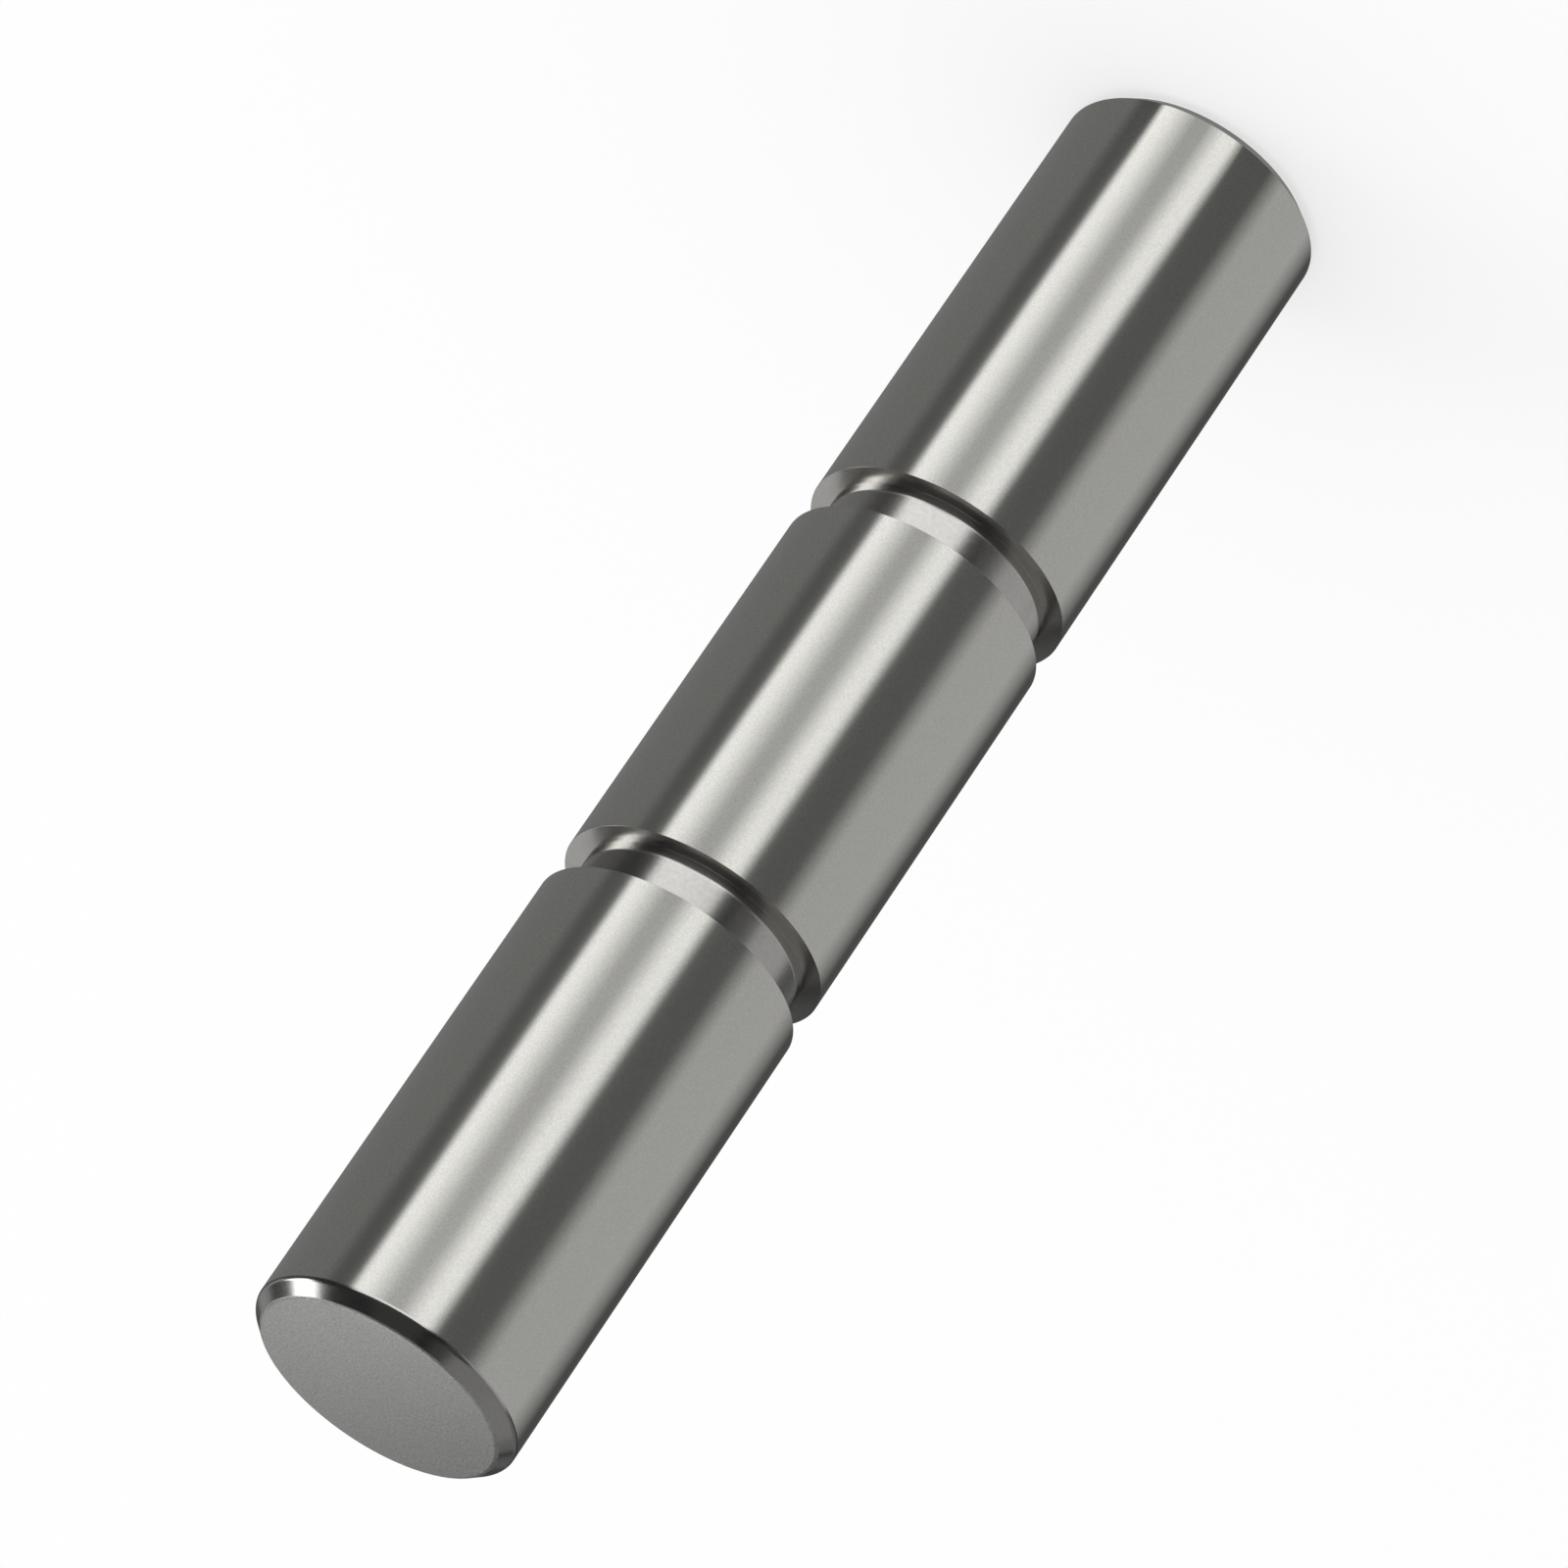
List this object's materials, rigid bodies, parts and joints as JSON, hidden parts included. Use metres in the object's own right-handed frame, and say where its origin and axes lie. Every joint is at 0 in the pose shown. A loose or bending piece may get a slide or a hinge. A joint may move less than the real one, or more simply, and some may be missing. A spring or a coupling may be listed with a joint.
{
  "type": "scooter wheel axle pin",
  "caption": "Straight ground steel pin with ring grooves between its bearing journals, on which the small wheel of a kick scooter turns.",
  "frame": {"origin": "centre of the lower end face, on which the pin stands", "axes": "+Z along the pin's axis, from the lower end face to the upper one; the pin is round, so X and Y are free"},
  "size_m": [0.008, 0.008, 0.045],
  "materials": {
    "ground_steel": "fine ground and polished journals, plain turned grooves, matt faced ends"
  },
  "bodies": {
    "root": {"axle": "ground_steel"}
  },
  "joints": []
}
